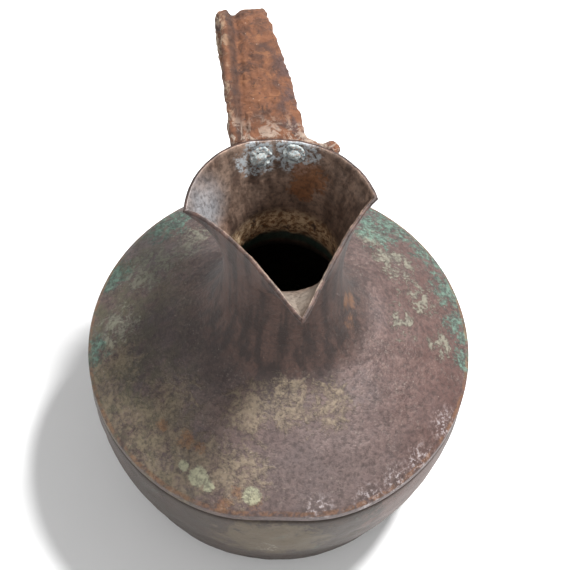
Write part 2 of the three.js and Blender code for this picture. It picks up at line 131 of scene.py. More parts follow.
# Where hammering fades out, so that the neighbours still fit: over how many millimetres, how much
# of it stays, and where it has gone
FLANGE_FADE = 6
FLANGE_LEAST = 0.1
FLANGE_CALM_RISE = -1.5
RIM_FADE = 10
RIM_LEAST = 0.25
RIM_CALM_RISE = RIM_RISE + 2
WALL_FADE = 8
WALL_CALM_LOW = 5
WALL_CALM_HIGH = EDGE_HEIGHT - 8
WALL_BUMP_LOSS = 0.25

# Scale inside the throat, thickest at its back
SCALE_ANGLE = math.radians(192)
SCALE_HALF_ANGLE = 0.85
SCALE_RISE = 70
SCALE_HALF_HEIGHT = 9
SCALE_DEPTH = 1.9
SOFT_BUMPS_FROM = 40

# Corrosion of the worked pieces, in shares of a piece's own depth and lump size
ROUGH_SHARE = 0.7
BROAD_SHARE = 0.6
BROAD_SIZE = 4
PIT_SHARE = 1.3
PIT_SIZE = 0.45
PIT_LEVEL = 0.25
FLAKE_SIZE = 2.4
FLAKE_SQUASH = np.array([1, 1, 0.5])
FLAKE_LEVEL = 0.12
SMOOTH_FIRST = 3
SMOOTH_LAST = 1
RIVET_VOXEL = 0.3
RIVET_LUMP = 1.6
SEED_STEP = 7

# The photograph's viewpoint
EYE = Vector((-52.615, -360.525, EDGE_HEIGHT + 689.11))
EYE_RIGHT = Vector((0.99474448, -0.09825999, 0.02878201))
EYE_UP = Vector((0.07086271, 0.86360111, 0.49917091))
FOCAL_PIXELS = 1560
FRAME_PIXELS = 570
SENSOR = 36

# Stage
FLOOR_HALF = 1600
WORLD_STRENGTH = 0.45
BACKDROP = (0.8, 0.8, 0.8, 1)


# Curves and skins of the bronze

def bezier(points, steps=400):
    a, b, c, d = (np.array(p, float) for p in points)
    t = np.linspace(0, 1, steps)[:, None]
    return (1 - t) ** 3 * a + 3 * (1 - t) ** 2 * t * b + 3 * (1 - t) * t**2 * c + t**3 * d


def along(points, share):
    """Points at even shares of a polyline's length."""
    steps = np.hypot(*np.diff(points, axis=0).T)
    length = np.concatenate([[0], np.cumsum(steps)])
    where = np.asarray(share) * length[-1]
    return np.stack([np.interp(where, length, points[:, k]) for k in (0, 1)], axis=-1)


RIGHT_OF_LIP = bezier([LIP_TIP, (5.5, -54.5), (22, -14), RIGHT_CORNER])
LEFT_OF_LIP = bezier([LIP_TIP, (-3.5, -54.5), (-20.5, -8), LEFT_CORNER])
BACK_OF_MOUTH = np.concatenate([
    bezier([RIGHT_CORNER, (38, 20), (21.5, 39), MOUTH_BACK]),
    bezier([MOUTH_BACK, (-25, 39.5), (-42, 24), LEFT_CORNER])[1:],
])


def rim_outline(angles):
    """The rim in plan: two sides of the lip and the back, joined at the corners."""
    turn = np.mod(angles / TURN, 1)
    right = along(RIGHT_OF_LIP, np.clip(turn / LIP_SHARE, 0, 1))
    left = along(LEFT_OF_LIP, np.clip((1 - turn) / LIP_SHARE, 0, 1))
    back = along(BACK_OF_MOUTH, np.clip((turn - LIP_SHARE) / (1 - 2 * LIP_SHARE), 0, 1))
    is_right = (turn < LIP_SHARE)[:, None]
    is_left = (turn > 1 - LIP_SHARE)[:, None]
    return np.where(is_right, right, np.where(is_left, left, back))


def facing(angles):
    """Directions in plan, counted from the lip towards the jug's right."""
    return np.stack([np.sin(angles), -np.cos(angles)], axis=-1)


def mouth_ring(angles, level):
    """A ring of the mouth, from the neck at level 0 to the rim at level 1."""
    front = ((1 + np.cos(angles)) / 2) ** FRONT_FOCUS
    flare = (level ** (FLARE_BACK + (FLARE_FRONT - FLARE_BACK) * front))[:, None]
    plan = facing(angles) * NECK_RADIUS * (1 - flare) + rim_outline(angles) * flare
    start = EDGE_HEIGHT + MOUTH_START_BACK + (MOUTH_START_FRONT - MOUTH_START_BACK) * front
    rim = EDGE_HEIGHT + RIM_RISE + LIP_LIFT * front**LIP_LIFT_FOCUS
    return np.column_stack([plan, start + (rim - start) * level])


def profile_ring(angles, radius, height):
    return np.column_stack([facing(angles) * radius, np.full(len(angles), height)])


def shoulder_profile():
    """(radius, rise) from the flange up to the neck."""
    points = [(BODY_RADIUS, -FLANGE_DEPTH + k * FLANGE_STEP) for k in range(FLANGE_RINGS)]
    points += [(BODY_RADIUS - inwards, rise) for inwards, rise in SHOULDER_ROLL]
    for share in np.linspace(0.05, 0.97, CONE_RINGS):
        radius = BODY_RADIUS + (SHOULDER_TOP_RADIUS - BODY_RADIUS) * share
        points.append((radius, SHOULDER_RISE * share + SHOULDER_CROWN * math.sin(math.pi * share)))
    sweep = bezier([(SHOULDER_TOP_RADIUS, SHOULDER_RISE), *SWEEP_HANDLES, (NECK_RADIUS, NECK_START)],
                   SWEEP_RINGS)
    return points + [tuple(p) for p in sweep]


def wall_profile():
    """(radius, height) of the lower wall, from its lap at the foot to its lap at the shoulder."""
    points = [(FOOT_LAP_RADIUS, height) for height in FOOT_LAP_HEIGHTS]
    for turn in np.linspace(0.12, 0.95, FOOT_BEND_RINGS) * QUARTER_TURN:
        points.append((FOOT_RADIUS + (WALL_FOOT_RADIUS - FOOT_RADIUS) * math.sin(turn),
                       WALL_FOOT_HEIGHT + (FOOT_BEND_LOW - WALL_FOOT_HEIGHT) * math.cos(turn)))
    wall = bezier([(WALL_FOOT_RADIUS, WALL_FOOT_HEIGHT), *WALL_HANDLES,
                   (BODY_RADIUS, EDGE_HEIGHT - WALL_TOP_DEPTH)], WALL_RINGS)
    points += [tuple(p) for p in wall]
    return points + [(radius, EDGE_HEIGHT - depth) for radius, depth in WALL_TUCK]


def base_profile():
    """(radius, height) of the base plate: its underside, up-turned edge and upper side."""
    points = [(BASE_MIDDLE, 0)]
    for radius in GROOVE_RADII:
        points += [(radius + across, height) for across, height in GROOVE_OUTLINE]
    corner = FOOT_RADIUS - BASE_CORNER
    points.append((corner, 0))
    for turn in np.linspace(0.15, 1, BASE_CORNER_RINGS) * QUARTER_TURN:
        points.append((corner + BASE_CORNER * math.sin(turn), BASE_CORNER - BASE_CORNER * math.cos(turn)))
    inside = FOOT_RADIUS - SHEET
    shaved = FOOT_EDGE_HEIGHT - BASE_CHAMFER
    return points + [(FOOT_RADIUS, shaved), (FOOT_RADIUS - BASE_CHAMFER, FOOT_EDGE_HEIGHT),
                     (inside + BASE_CHAMFER, FOOT_EDGE_HEIGHT), (inside, shaved), (inside, SHEET),
                     (BASE_MIDDLE, SHEET)]


def normals_of(rings):
    """Normals of a skin of closed rings: rings[row, column, xyz], pointing outwards."""
    around = np.roll(rings, -1, axis=1) - np.roll(rings, 1, axis=1)
    upward = np.gradient(rings, axis=0)
    normal = np.cross(around, upward)
    return normal / np.maximum(np.linalg.norm(normal, axis=2, keepdims=True), 1e-9)


def away_from_axis(points):
    """Level directions from the jug's axis to each point."""
    flat = points.copy()
    flat[..., 2] = 0
    return flat / np.maximum(np.linalg.norm(flat, axis=-1, keepdims=True), 1e-6)


def noise_field(points, size, seed, octaves=1):
    """Noise about -1 to 1 at each point, with lumps of about a size in millimetres."""
    flat = points.reshape(-1, 3) / size + seed
    values = [noise.fractal(Vector(p), 1.0, 2.0, octaves) if octaves > 1 else noise.noise(Vector(p))
              for p in flat]
    return np.array(values).reshape(points.shape[:-1])


def layered(points, layers):
    """Layers of noise added up, each as (lump size, seed, height)."""
    return sum(height * noise_field(points, size, seed) for size, seed, height in layers)


def hammered(rings, depth):
    """Shallow hammer marks, older dents and a fine uneven surface."""
    return depth * layered(rings, (HAMMER_MARKS, OLD_DENTS, FINE_PITS))


def fade(distance, length, least=0):
    """1 beyond a length, falling evenly towards 0 at distance 0, but never under the least value."""
    return np.clip(distance / length, least, 1)


def dented(points):
    """The skin with the broad dent in the front of the shoulder's edge."""
    radius = np.hypot(points[..., 0], points[..., 1])
    angle = np.arctan2(points[..., 0], -points[..., 1]) - DENT_ANGLE
    across = np.exp(-((angle / DENT_HALF_ANGLE) ** 2))
    height = np.exp(-(((points[..., 2] - EDGE_HEIGHT) / DENT_HALF_HEIGHT) ** 2))
    shrink = np.where(radius > NECK_RADIUS, 1 - DENT_DEPTH * across * height / radius, 1)
    moved = points.copy()
    moved[..., :2] *= shrink[..., None]
    return moved


def throat_scale(inner):
    """Scale round the throat and soft bumps on the inside of the mouth."""
    rise = inner[..., 2] - EDGE_HEIGHT
    angle = np.mod(np.arctan2(inner[..., 0], -inner[..., 1]), TURN)
    at_back = np.exp(-(((angle - SCALE_ANGLE) / SCALE_HALF_ANGLE) ** 4))
    band = np.exp(-(((rise - SCALE_RISE) / SCALE_HALF_HEIGHT) ** 2)) * at_back
    lumps = 0.55 + 0.9 * noise_field(inner, 5, 21.0, 3)
    soft = 0.22 * noise_field(inner, 3.5, 22.0, 2)
    depth = band * np.clip(lumps, 0, 2) * SCALE_DEPTH + soft * (rise > SOFT_BUMPS_FROM)
    return -away_from_axis(inner) * depth[..., None]


# Sheet pieces

def mesh_object(name, vertices, faces, material):
    mesh = bpy.data.meshes.new(name)
    mesh.from_pydata((vertices * MM).tolist(), [], faces)
    mesh.update()
    mesh.shade_smooth()
    mesh.materials.append(material)
    made = bpy.data.objects.new(name, mesh)
    bpy.context.scene.collection.objects.link(made)
    return made


def ring_faces(row_count, columns, closed_rows):
    faces = []
    last = row_count if closed_rows else row_count - 1
    for row in range(last):
        below = row * columns
        above = ((row + 1) % row_count) * columns
        for column in range(columns):
            beside = (column + 1) % columns
            faces.append((below + column, below + beside, above + beside, above + column))
    return faces


def sheet_object(name, outer, thickness, material, inner_relief=None):
    """A closed sheet behind an outer skin, with a rounded upper edge."""
    inner = outer - normals_of(outer) * thickness[:, None, None]
    if inner_relief is not None:
        inner = inner + inner_relief(inner)
    upward = outer[-1] - outer[-2]
    upward /= np.linalg.norm(upward, axis=1, keepdims=True)
    rounded = [outer[-1] * (1 - inwards) + inner[-1] * inwards + upward * rise * thickness[-1]
               for inwards, rise in EDGE_ROUND]
    kept = sorted(set(range(0, len(inner), INNER_STEP)) | {len(inner) - 1})
    rings = np.concatenate([outer, rounded, inner[kept][::-1]])
    return mesh_object(name, rings.reshape(-1, 3), ring_faces(len(rings), COLUMNS, True), material)


def make_upper(material):
    """The sheet from the shoulder's flange up to the rim and the pinched lip."""
    angles = np.arange(COLUMNS) / COLUMNS * TURN
    rings = [profile_ring(angles, radius, EDGE_HEIGHT + rise) for radius, rise in shoulder_profile()]
    levels = np.linspace(0, 1, MOUTH_RINGS)
    rings += [mouth_ring(angles, np.full(COLUMNS, level)) for level in levels]
    outer = dented(np.array(rings))
    relief = hammered(outer, UPPER_HAMMERING)
    rise = outer[..., 2] - EDGE_HEIGHT
    relief *= (fade(rise - FLANGE_CALM_RISE, FLANGE_FADE, FLANGE_LEAST)
               * fade(RIM_CALM_RISE - rise, RIM_FADE, RIM_LEAST))
    outer = outer + normals_of(outer) * relief[..., None]
    # An uneven, slightly chipped rim
    wave = layered(outer[-1:], RIM_WAVES)[0]
    outer[-MOUTH_RINGS:, :, 2] += (levels**RIM_WAVE_FOCUS)[:, None] * (wave - RIM_WEAR)[None, :]
    thickness = np.full(len(outer), SHEET)
    thickness[-THICKENED_RINGS:] = np.linspace(SHEET, LIP_SHEET, THICKENED_RINGS)
    return sheet_object("hammered_neck_and_shoulder", outer, thickness, material, throat_scale)


def make_wall(material):
    """The lower wall, hammered between its two laps."""
    angles = np.arange(COLUMNS) / COLUMNS * TURN
    outer = dented(np.array([profile_ring(angles, radius, height) for radius, height in wall_profile()]))
    relief = hammered(outer, WALL_HAMMERING)
    height = outer[..., 2]
    relief *= fade(height - WALL_CALM_LOW, WALL_FADE) * fade(WALL_CALM_HIGH - height, WALL_FADE)
    # Dents go deeper than bumps rise
    outer = outer + normals_of(outer) * (relief - WALL_BUMP_LOSS * np.abs(relief))[..., None]
    thickness = np.full(len(outer), SHEET)
    return sheet_object("hammered_lower_wall", outer, thickness, material)


def make_base(material):
    """The base plate with its two turned grooves and up-turned edge."""
    angles = np.arange(COLUMNS) / COLUMNS * TURN
    rings = np.array([profile_ring(angles, radius, height) for radius, height in base_profile()])
    faces = ring_faces(len(rings), COLUMNS, False)
    faces.append(tuple(range(COLUMNS))[::-1])
    faces.append(tuple((len(rings) - 1) * COLUMNS + k for k in range(COLUMNS)))
    return mesh_object("turned_base_plate", rings.reshape(-1, 3), faces, material)


# Iron and crusted pieces start from their solids and are worked over finely

def vertex_vectors(mesh, attribute):
    """The places or normals of all vertices, one row each."""
    values = np.empty(len(mesh.vertices) * 3)
    mesh.vertices.foreach_get(attribute, values)
    return values.reshape(-1, 3)


def soften(mesh, rounds):
    """Averages each vertex with its neighbours, to take a voxel grid's steps away."""
    count = len(mesh.vertices)
    places = vertex_vectors(mesh, "co")
    edges = np.empty(len(mesh.edges) * 2, dtype=np.int64)
    mesh.edges.foreach_get("vertices", edges)
    edges = edges.reshape(-1, 2)
    degree = np.bincount(edges.ravel(), minlength=count)[:, None]
    for _ in range(rounds):
        total = np.zeros_like(places)
        for k in (0, 1):
            for axis in range(3):
                total[:, axis] += np.bincount(edges[:, k], places[edges[:, 1 - k], axis], count)
        places = places * 0.5 + total / np.maximum(degree, 1) * 0.5
    mesh.vertices.foreach_set("co", places.ravel())
    mesh.update()


def worked(name, node, material, voxel, depth, lump, seed, flakes=0.0):
    """A finely remeshed copy of a solid, roughened along its own normals. Sizes in millimetres."""
    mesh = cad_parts[node].data.copy()
    mesh.materials.clear()
    made = bpy.data.objects.new(name, mesh)
    bpy.context.scene.collection.objects.link(made)
    remesh = made.modifiers.new("fine", "REMESH")
    remesh.mode = "VOXEL"
    remesh.voxel_size = voxel * MM
    graph = bpy.context.evaluated_depsgraph_get()
    fine = bpy.data.meshes.new_from_object(made.evaluated_get(graph))
    made.modifiers.clear()
    made.data = fine
    soften(fine, SMOOTH_FIRST)
    places = vertex_vectors(fine, "co") / MM
    normal = vertex_vectors(fine, "normal")
    rough = noise_field(places, lump, seed, 4)
    broad = noise_field(places, lump * BROAD_SIZE, seed + 5)
    pits = np.clip(noise_field(places, lump * PIT_SIZE, seed + 9) - PIT_LEVEL, 0, 1)
    move = depth * (rough * ROUGH_SHARE + broad * BROAD_SHARE - PIT_SHARE * pits)
    if flakes:
        # Rust lifts in plates with sharp edges
        plates = noise_field(places * FLAKE_SQUASH, lump * FLAKE_SIZE, seed + 17, 2)
        move += flakes * np.where(plates > FLAKE_LEVEL, 1, 0) - flakes * 0.5
    places += normal * move[:, None]
    fine.vertices.foreach_set("co", (places * MM).ravel())
    fine.update()
    soften(fine, SMOOTH_LAST)
    fine.shade_smooth()
    fine.materials.clear()
    fine.materials.append(material)
    return made


# Node materials

# Sockets of the Mix node in its colour mode
MIX_FACTOR = 0
MIX_UNDER = 6
MIX_OVER = 7
MIX_RESULT = 2

# A spot is whole within this share of its size
SPOT_CORE = 0.15

# Ragged patches: shares of the pattern and of fine flecks, how far a region lifts their sum, and
# what is added to the edge for that
PATTERN_SHARE = 0.62
FLECK_SHARE = 0.38
REGION_LIFT = 0.22
EDGE_LIFT = 0.2


class Paint:
    """Builds one node material. Places are in millimetres in the jug's frame."""

    def __init__(self, name):
        self.material = bpy.data.materials.new(name)
        self.material.use_nodes = True
        self.tree = self.material.node_tree
        self.shader = self.tree.nodes["Principled BSDF"]
        coordinate = self.tree.nodes.new("ShaderNodeTexCoord")
        scaled = self.vector_math("SCALE", coordinate.outputs["Object"])
        scaled.inputs["Scale"].default_value = 1 / MM
        self.place = scaled.outputs[0]
        self.fleck = None

    def link(self, source, target):
        """Links a socket, or sets a number or a tuple on the target itself."""
        if isinstance(source, (int, float)):
            target.default_value = source
        elif isinstance(source, tuple):
            target.default_value = (*source, 1) if len(target.default_value) == 4 else source
        else:
            self.tree.links.new(source, target)

    def vector_math(self, operation, first, second=None):
        node = self.tree.nodes.new("ShaderNodeVectorMath")
        node.operation = operation
        self.link(first, node.inputs[0])
        if second is not None:
            self.link(second, node.inputs[1])
        return node

    def math(self, operation, a, b, clamp=False):
        node = self.tree.nodes.new("ShaderNodeMath")
        node.operation = operation
        node.use_clamp = clamp
        self.link(a, node.inputs[0])
        self.link(b, node.inputs[1])
        return node.outputs[0]

    def times(self, a, b):
        return self.math("MULTIPLY", a, b)

    def plus(self, a, b):
        return self.math("ADD", a, b)

    def most(self, a, b):
        return self.math("MAXIMUM", a, b)

    def noise(self, size, detail, rough, distort=0.0, stretch=None):
        """Fractal noise about 0 to 1 with lumps of a size in millimetres."""
        place = self.place
        if stretch:
            mapping = self.tree.nodes.new("ShaderNodeMapping")
            mapping.inputs["Scale"].default_value = stretch
            self.link(place, mapping.inputs["Vector"])
            place = mapping.outputs[0]
        node = self.tree.nodes.new("ShaderNodeTexNoise")
        node.inputs["Scale"].default_value = 1 / size
        node.inputs["Detail"].default_value = detail
        node.inputs["Roughness"].default_value = rough
        node.inputs["Distortion"].default_value = distort
        self.link(place, node.inputs["Vector"])
        return node.outputs["Fac"]

    def step(self, value, low, high):
        """0 below low, 1 above high and a ramp between. low may be the larger one."""
        node = self.tree.nodes.new("ShaderNodeMapRange")
        node.interpolation_type = "SMOOTHSTEP"
        self.link(value, node.inputs["Value"])
        node.inputs["From Min"].default_value = min(low, high)
        node.inputs["From Max"].default_value = max(low, high)
        node.inputs["To Min"].default_value = 0.0 if low < high else 1.0
        node.inputs["To Max"].default_value = 1.0 if low < high else 0.0
        return node.outputs["Result"]

    def band(self, value, low, full_from, full_to, high):
        """1 between two values, with a ramp at each end."""
        return self.times(self.step(value, low, full_from), self.step(value, high, full_to))

    def spots(self, places):
        """The strongest of several spots, each as (x, y, rise, size): 1 there, 0 at that size."""
        total = None
        for x, y, rise, size in places:
            away = self.vector_math("SUBTRACT", self.place, (x, y, edge_z(rise))).outputs[0]
            distance = self.vector_math("LENGTH", away).outputs["Value"]
            here = self.step(distance, size, size * SPOT_CORE)
            total = here if total is None else self.most(total, here)
        return total

    def part(self, index):
        """x, y or z of the place in millimetres."""
        node = self.tree.nodes.new("ShaderNodeSeparateXYZ")
        self.link(self.place, node.inputs[0])
        return node.outputs[index]

    def mix(self, amount, under, over):
        node = self.tree.nodes.new("ShaderNodeMix")
        node.data_type = "RGBA"
        self.link(amount, node.inputs[MIX_FACTOR])
        self.link(under, node.inputs[MIX_UNDER])
        self.link(over, node.inputs[MIX_OVER])
        return node.outputs[MIX_RESULT]

    def cover(self, under, mask, share, over):
        """A colour laid over another where a mask is, at a share of its strength."""
        return self.mix(self.times(mask, share), under, over)

    def patches(self, region, pattern, edge, soft=0.05):
        """Ragged patches of a noise, wide where the region is strong and none where it is 0."""
        if self.fleck is None:
            self.fleck = self.noise(1.5, detail=5, rough=0.7)
        mottled = self.plus(self.times(pattern, PATTERN_SHARE), self.times(self.fleck, FLECK_SHARE))
        lifted = self.plus(mottled, self.times(region, REGION_LIFT))
        ragged = self.step(lifted, edge + EDGE_LIFT - soft, edge + EDGE_LIFT + soft)
        return self.times(ragged, self.step(region, 0.0, 0.25))

    def bump(self, height, distance, strength=1.0):
        """Fine relief, with the distance in millimetres."""
        node = self.tree.nodes.new("ShaderNodeBump")
        node.inputs["Strength"].default_value = strength
        node.inputs["Distance"].default_value = distance * MM
        self.link(height, node.inputs["Height"])
        self.link(node.outputs[0], self.shader.inputs["Normal"])

    def finish(self, color, roughness, metallic):
        self.link(color, self.shader.inputs["Base Color"])
        self.link(roughness, self.shader.inputs["Roughness"])
        self.link(metallic, self.shader.inputs["Metallic"])
        return self.material


def edge_z(rise):
    return EDGE_HEIGHT + rise


# Where the upper bronze has changed colour, and where light and shade are painted on it: x, y, rise and
# size
# Painted light on the front of the shoulder
LIT_FRONT_OF_SHOULDER = [(10, -75, 12, 62)]
VERDIGRIS = [(74, 60, 2, 30), (84, 45, 2, 26), (88, 22, 3, 24), (91, 0, 3, 21), (92, -18, 2, 16),
             (66, 68, 2, 32), (48, 80, 3, 30), (54, 54, 12, 30), (-92, 2, 2, 20), (-82, 44, 3, 22),
             (-50, 72, 6, 30), (5, 92, 3, 30)]
PALE_GREEN = [(60, 30, 16, 26), (70, 12, 14, 24), (56, -4, 20, 20), (76, -12, 8, 18), (50, 48, 16, 20),
              (-62, 40, 14, 32), (-78, 10, 8, 24), (-20, 66, 18, 28), (-40, 50, 20, 26)]
SAND = [(-67, -51, 7, 40), (-83, -32, 4, 32), (-50, -66, 9, 36), (-28, -74, 10, 32), (-78, -10, 8, 26),
        (0, -48, 30, 26), (18, -48, 28, 24), (-20, -50, 28, 26), (-56, -36, 18, 30), (-88, -14, 3, 22)]
RUST_SPOTS = [(-50, -55, 14, 9), (-34, -85, 2, 9), (-20, -85, 5, 8), (-44, -60, 14, 6), (-60, -46, 11, 6),
              (-28, -80, 5, 6), (30, -14, 42, 9), (28, -8, 52, 9), (32, -2, 44, 8)]
YELLOW_SPOTS = [(-45, -71, 7, 6.5), (-21, -83, 6, 6), (-41, -76, 6, 4), (-52, -66, 9, 4)]
# Painted shadow of the mouth on the left of the shoulder, and painted shade under and beside the neck
PAINTED_SHADOW_AREAS = [(-34, -28, 32, 24), (-46, -10, 30, 26), (-60, 2, 22, 26), (-68, -12, 14, 22),
              (34, 10, 34, 15), (-26, 30, 40, 20), (-8, -42, 33, 16), (16, -38, 36, 14)]
# Painted highlights along the front right of the shoulder's edge
EDGE_HIGHLIGHTS = [(50, -80, 1, 12), (35, -88, 0, 12), (10, -91, 2, 10), (62, -70, 1, 12), (76, -52, 1, 12)]

# Inside the mouth
# Painted sheen on the left inner wall of the mouth
INNER_SHEEN_SPOT = [(-34, 8, 112, 22)]
PINK_SPOT = [(-30, 8, 92, 13)]
RIVET_HALOS = [(-10, 33, 115, 12.5), (9, 34, 117, 15)]
RUST_RUN = [(15, 28, 106, 13), (11, 27, 98, 10)]
# Painted light on the lit floor of the lip's trough
LIT_LIP_TROUGH = [(1, -38, 112, 24)]

# On the lower wall
# Olive painted light where the wall's front dent catches the light
WALL_LIT_DENT_AREA = [(-12, -93, -32, 44)]
WALL_PINK_AREA = [(60, -70, -24, 52)]
WALL_GLINTS = [(-14, -90, -40, 12)]

# Colours of the upper bronze, in linear red, green and blue
PLUM_DARK = (0.052, 0.033, 0.03)
PLUM_LIGHT = (0.11, 0.072, 0.066)
PLUM_GREY = (0.088, 0.066, 0.064)
PLUM_PALE = (0.165, 0.112, 0.098)
# Lighter plum for the painted light on the front of the shoulder
PLUM_PAINTED_LIGHT = (0.135, 0.1, 0.094)
RED_BROWN = (0.094, 0.042, 0.033)
OLIVE = (0.088, 0.078, 0.05)
NECK_DARK = (0.03, 0.018, 0.015)
NECK_BROWN = (0.082, 0.046, 0.036)
# Painted shadow colour
PAINTED_SHADOW_BROWN = (0.026, 0.018, 0.017)
SANDY = (0.235, 0.185, 0.12)
GREENISH_GREY = (0.2, 0.2, 0.15)
VERDIGRIS_DARK = (0.03, 0.066, 0.052)
VERDIGRIS_LIGHT = (0.1, 0.19, 0.145)
RUST_BROWN = (0.21, 0.095, 0.04)
YELLOW_GREY = (0.34, 0.34, 0.23)
PALE_FLECKS = (0.42, 0.4, 0.34)
# Painted highlight colour
HIGHLIGHT_BRONZE = (0.42, 0.38, 0.38)
EDGE_RUST = (0.2, 0.095, 0.045)
PIT_BLACK = (0.022, 0.016, 0.014)
DUST = (0.26, 0.215, 0.185)

# Colours inside the mouth
LINING_DARK = (0.09, 0.055, 0.04)
LINING_LIGHT = (0.26, 0.175, 0.13)
LINING_BROWN = (0.15, 0.105, 0.08)
# Painted sheen colour
SHEEN_SILVER = (0.33, 0.34, 0.36)
PINKISH = (0.36, 0.22, 0.16)
HALO_BLUE = (0.38, 0.43, 0.46)
RUN_BROWN = (0.2, 0.085, 0.035)
SCALE_DARK = (0.42, 0.23, 0.11)
SCALE_LIGHT = (0.75, 0.57, 0.37)
TEAL = (0.03, 0.1, 0.085)
# Painted shadow deep inside the neck
NECK_SHADOW_BLACK = (0.008, 0.007, 0.007)
# Painted light colour of the trough
TROUGH_PAINTED_LIGHT = (0.36, 0.31, 0.26)

# Colours of the lower wall
WALL_DARK = (0.034, 0.024, 0.02)
WALL_LIGHT = (0.08, 0.056, 0.043)
WALL_GREY = (0.056, 0.043, 0.035)
WALL_PITS = (0.018, 0.014, 0.012)
# Olive painted light colour
WALL_DENT_LIGHT = (0.15, 0.12, 0.072)
WALL_PINK = (0.17, 0.1, 0.085)
WALL_GREEN = (0.06, 0.1, 0.076)
WALL_DUST = (0.2, 0.16, 0.13)
WALL_GLINT = (0.6, 0.58, 0.52)
# Dark seam and painted shade under the shoulder's overhanging edge
SEAM_AND_SHADE_DARK = (0.03, 0.022, 0.018)

# Colours of the iron, the rivets, the solder and the floor
IRON_DARK = (0.06, 0.028, 0.019)
IRON_RUST = (0.175, 0.07, 0.033)
IRON_ORANGE = (0.25, 0.105, 0.045)
IRON_PURPLE = (0.11, 0.066, 0.062)
IRON_PITS = (0.04, 0.022, 0.018)
BEAD_CRUST = (0.45, 0.36, 0.25)
IRON_FLECKS = (0.6, 0.55, 0.48)
GROOVE_DARK = (0.03, 0.017, 0.014)
JOINT_CRUST = (0.4, 0.33, 0.27)
RIVET_DARK = (0.12, 0.14, 0.15)
RIVET_PALE = (0.34, 0.375, 0.37)
RIVET_RUST = (0.2, 0.1, 0.06)
SOLDER_DARK = (0.05, 0.042, 0.036)
SOLDER_LIGHT = (0.13, 0.11, 0.09)
FLOOR_LOW = (0.86, 0.86, 0.86)
FLOOR_HIGH = (0.9, 0.9, 0.9)


def patina(name):
    """Shoulder, neck and mouth: plum and olive patina, with deposits where the photograph has them, painted
    shadow and shade round the neck, painted light on the front of the shoulder and painted highlights on
    its front edge.
    """
    paint = Paint(name)
    height = paint.part(2)
    side = paint.part(0)
    broad = paint.noise(34, detail=3, rough=0.5)
    blotch = paint.noise(9, detail=6, rough=0.62, distort=0.4)
    grain = paint.noise(2.2, detail=6, rough=0.7)
    ragged = paint.noise(7, detail=8, rough=0.68, distort=0.9)
    speck = paint.noise(1.1, detail=3, rough=0.6)
    mottle = paint.noise(3.4, detail=8, rough=0.75, distort=0.5)
    streak = paint.noise(6, detail=5, rough=0.6, distort=0.2, stretch=(1, 1, 0.12))

    color = paint.mix(paint.step(blotch, 0.38, 0.66), PLUM_DARK, PLUM_LIGHT)
    color = paint.mix(paint.step(broad, 0.42, 0.62), color, PLUM_GREY)
    color = paint.cover(color, paint.step(mottle, 0.44, 0.6), 0.55, PLUM_PALE)
    # Painted light on the front of the shoulder
    color = paint.cover(color, paint.spots(LIT_FRONT_OF_SHOULDER), 0.6, PLUM_PAINTED_LIGHT)
    color = paint.cover(color, paint.step(side, 25, 85), 0.6, RED_BROWN)
    color = paint.mix(paint.times(paint.step(side, -20, -80), paint.step(blotch, 0.4, 0.6)), color, OLIVE)
    neck_color = paint.mix(paint.step(streak, 0.4, 0.62), NECK_DARK, NECK_BROWN)
    color = paint.mix(paint.step(height, edge_z(28), edge_z(40)), color, neck_color)
    # Painted shadow and shade round the neck's foot
    color = paint.cover(color, paint.spots(PAINTED_SHADOW_AREAS), 0.55, PAINTED_SHADOW_BROWN)

    sand = paint.patches(paint.spots(SAND), ragged, edge=0.49, soft=0.08)
    color = paint.cover(color, sand, 0.6, SANDY)
    pale = paint.patches(paint.spots(PALE_GREEN), ragged, edge=0.5, soft=0.04)
    color = paint.cover(color, pale, 0.68, GREENISH_GREY)
    green_pattern = paint.noise(6, detail=7, rough=0.7, distort=0.6)
    green = paint.patches(paint.spots(VERDIGRIS), green_pattern, edge=0.48, soft=0.06)
    green_color = paint.mix(paint.step(grain, 0.4, 0.62), VERDIGRIS_DARK, VERDIGRIS_LIGHT)
    color = paint.cover(color, green, 0.78, green_color)
    rust = paint.patches(paint.spots(RUST_SPOTS), blotch, edge=0.46, soft=0.08)
    color = paint.cover(color, rust, 0.6, RUST_BROWN)
    yellow = paint.patches(paint.spots(YELLOW_SPOTS), blotch, edge=0.34, soft=0.07)
    color = paint.cover(color, yellow, 0.8, YELLOW_GREY)
    flecks = paint.times(paint.step(speck, 0.7, 0.74), paint.step(ragged, 0.45, 0.6))
    color = paint.cover(color, flecks, 0.55, PALE_FLECKS)
    # Painted highlights flecked along the shoulder's front edge
    edge_highlight = paint.times(paint.spots(EDGE_HIGHLIGHTS), paint.step(grain, 0.5, 0.62))
    color = paint.cover(color, edge_highlight, 0.7, HIGHLIGHT_BRONZE)
    ring = paint.band(height, edge_z(-1.4), edge_z(-0.5), edge_z(0.4), edge_z(1.4))
    color = paint.cover(color, paint.times(ring, paint.step(ragged, 0.4, 0.55)), 0.6, EDGE_RUST)

    color = inside_of_mouth(paint, color, height, streak, ragged, grain)
    color = paint.cover(color, paint.step(grain, 0.56, 0.36), 0.5, PIT_BLACK)
    dust = paint.times(paint.step(paint.noise(1.6, detail=7, rough=0.78), 0.53, 0.66),
                       paint.step(paint.noise(16, detail=4, rough=0.6), 0.38, 0.6))
    dust = paint.times(dust, paint.step(height, edge_z(46), edge_z(30)))
    color = paint.cover(color, dust, 0.42, DUST)

    crust = paint.most(green, paint.most(sand, pale))
    roughness = paint.plus(paint.times(crust, 0.25), paint.plus(0.4, paint.times(grain, 0.25)))
    metallic = paint.math("SUBTRACT", 0.4, paint.times(crust, 0.36), clamp=True)
    lumps = paint.times(paint.noise(5, detail=4, rough=0.6), 0.6)
    relief = paint.plus(paint.times(grain, 0.7), paint.plus(paint.times(crust, 0.5), lumps))
    paint.bump(relief, distance=0.6)
    return paint.finish(color, roughness, metallic)


